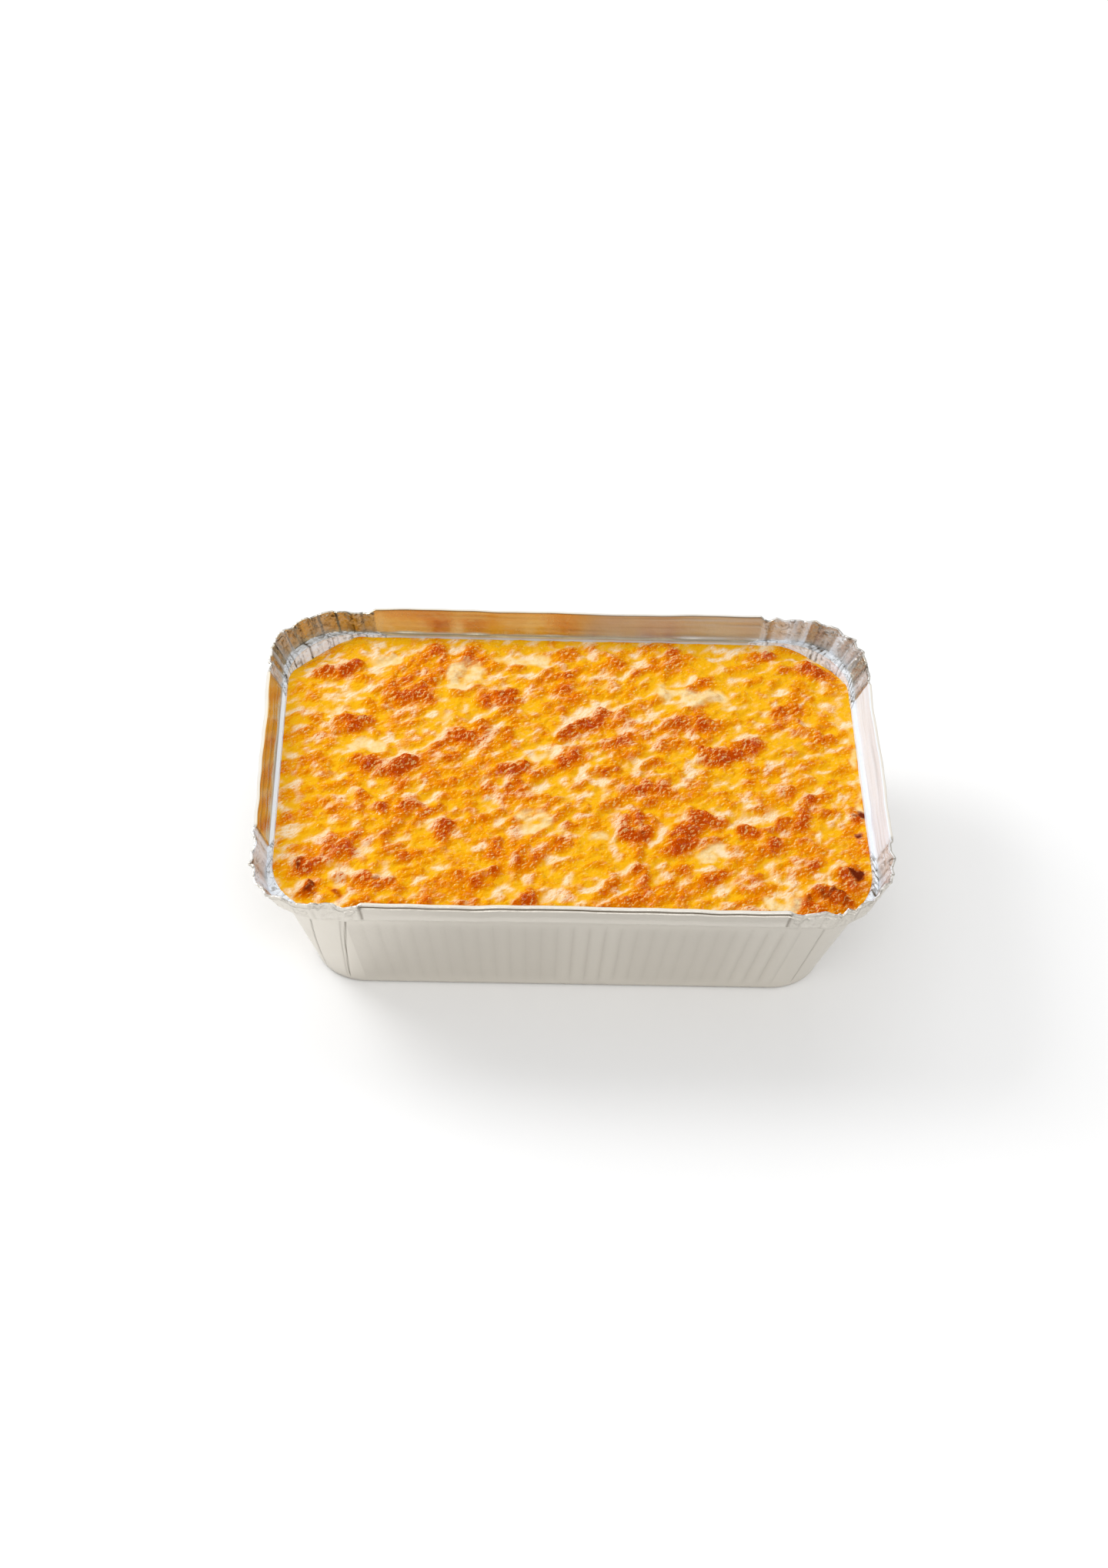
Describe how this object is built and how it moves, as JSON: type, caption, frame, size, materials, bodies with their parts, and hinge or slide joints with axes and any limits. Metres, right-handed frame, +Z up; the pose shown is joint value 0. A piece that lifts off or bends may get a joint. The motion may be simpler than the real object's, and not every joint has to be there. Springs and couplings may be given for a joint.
{
  "type": "foil tray meal",
  "caption": "Oblong foil tray with ribbed tapered walls and a hemmed standing rim gathered at its corners, filled with a baked dish under a browned, uneven cheese crust.",
  "frame": {"origin": "centre of the tray's flat underside, which is also the middle of the object's box from above", "axes": "+X along the tray's length, +Y across it away from the viewer of the picture, +Z up out of the open top"},
  "size_m": [0.1856, 0.1326, 0.047],
  "materials": {
    "foil": "thin bright foil, ribbed, with fine creases",
    "cheese_crust": "oily melted cheese, golden to brown, with burnt spots"
  },
  "bodies": {
    "root": {"tray": "foil", "meal": "cheese_crust"}
  },
  "joints": []
}
